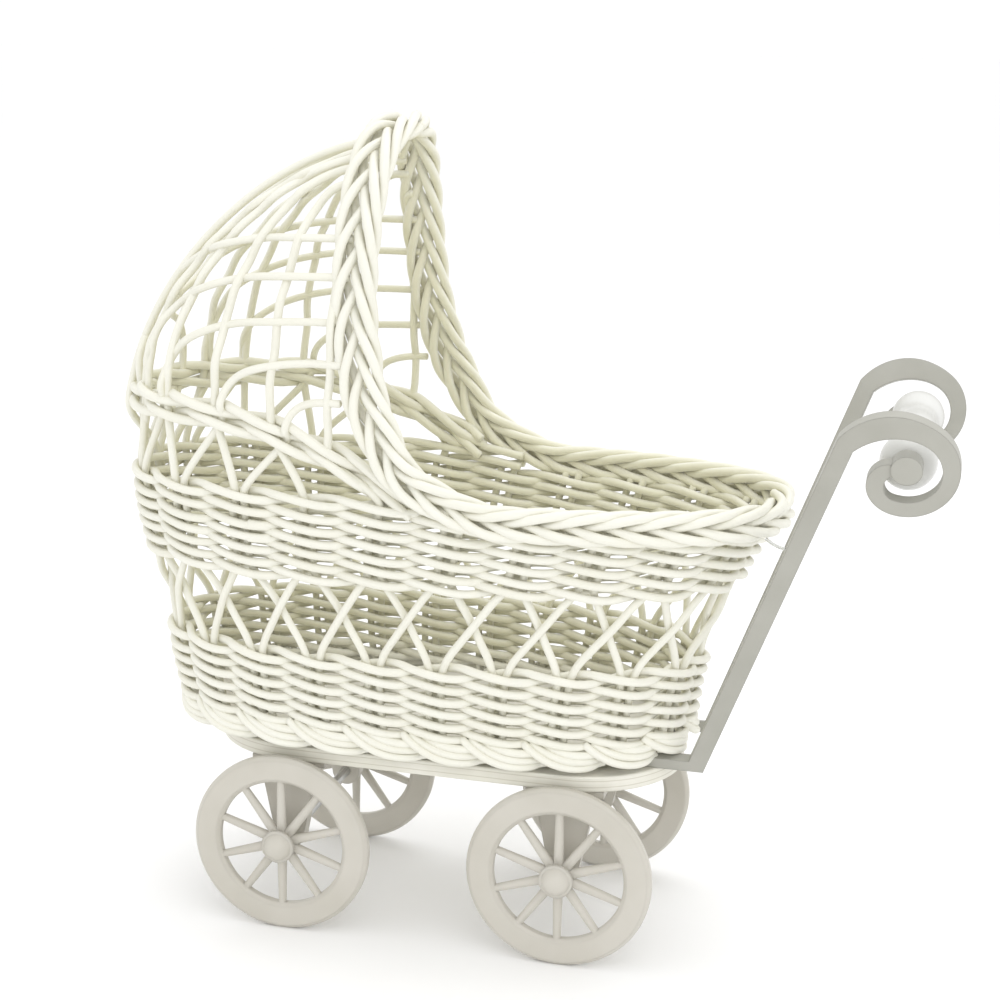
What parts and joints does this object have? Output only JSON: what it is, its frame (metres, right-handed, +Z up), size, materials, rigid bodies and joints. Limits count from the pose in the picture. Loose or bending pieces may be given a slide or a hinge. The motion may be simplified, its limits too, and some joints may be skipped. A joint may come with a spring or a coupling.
{
  "type": "doll pram",
  "caption": "White woven reed doll pram with an arched hood, a plywood base on spoked wheels and a scroll-topped push handle.",
  "frame": {"origin": "centre of the bounding box on the floor under the wheels", "axes": "+X towards the push handle, -X towards the hooded end, +Z up; the left wheels and left arm are at -Y, the right ones at +Y"},
  "size_m": [0.3236, 0.1218, 0.3194],
  "materials": {
    "reed": "satin paint on round reed",
    "plywood": "painted plywood",
    "floor_board": "painted board",
    "wheel_plastic": "moulded, satin",
    "handle_paint": "painted, satin",
    "grip_white": "gloss",
    "steel": "zinc plated",
    "clear_nylon": "clear"
  },
  "bodies": {
    "frame": {"base_board": "plywood", "front_axle_bracket": "wheel_plastic", "rear_axle_bracket": "wheel_plastic", "front_axle_rod": "steel", "rear_axle_rod": "steel", "hub_cap_front_left": "wheel_plastic", "hub_cap_front_right": "wheel_plastic", "hub_cap_rear_left": "wheel_plastic", "hub_cap_rear_right": "wheel_plastic", "bracket_screws": "steel", "handle_arm_left": "handle_paint", "handle_arm_right": "handle_paint", "handle_grip": "grip_white", "handle_cross_plate": "handle_paint", "handle_screws": "steel", "basket_floor": "floor_board", "foot_border": "reed", "lower_weave_band": "reed", "trellis_stakes": "reed", "upper_weave_band": "reed", "upper_stakes": "reed", "rim_braid": "reed", "hood_middle_band": "reed", "hood_risers": "reed", "hood_arcs": "reed", "hood_arch_braid": "reed", "rim_tie": "clear_nylon"},
    "wheel_front_left": {"wheel_front_left": "wheel_plastic"},
    "wheel_front_right": {"wheel_front_right": "wheel_plastic"},
    "wheel_rear_left": {"wheel_rear_left": "wheel_plastic"},
    "wheel_rear_right": {"wheel_rear_right": "wheel_plastic"}
  },
  "joints": [
    {"name": "front_left_wheel_spin", "type": "hinge", "parent": "frame", "child": "wheel_front_left", "pos_m": [-0.08685, -0.0452, 0.036], "axis": [0, 1, 0], "continuous": true},
    {"name": "front_right_wheel_spin", "type": "hinge", "parent": "frame", "child": "wheel_front_right", "pos_m": [-0.08685, 0.0452, 0.036], "axis": [0, 1, 0], "continuous": true},
    {"name": "rear_left_wheel_spin", "type": "hinge", "parent": "frame", "child": "wheel_rear_left", "pos_m": [0.02475, -0.0452, 0.036], "axis": [0, 1, 0], "continuous": true},
    {"name": "rear_right_wheel_spin", "type": "hinge", "parent": "frame", "child": "wheel_rear_right", "pos_m": [0.02475, 0.0452, 0.036], "axis": [0, 1, 0], "continuous": true}
  ]
}
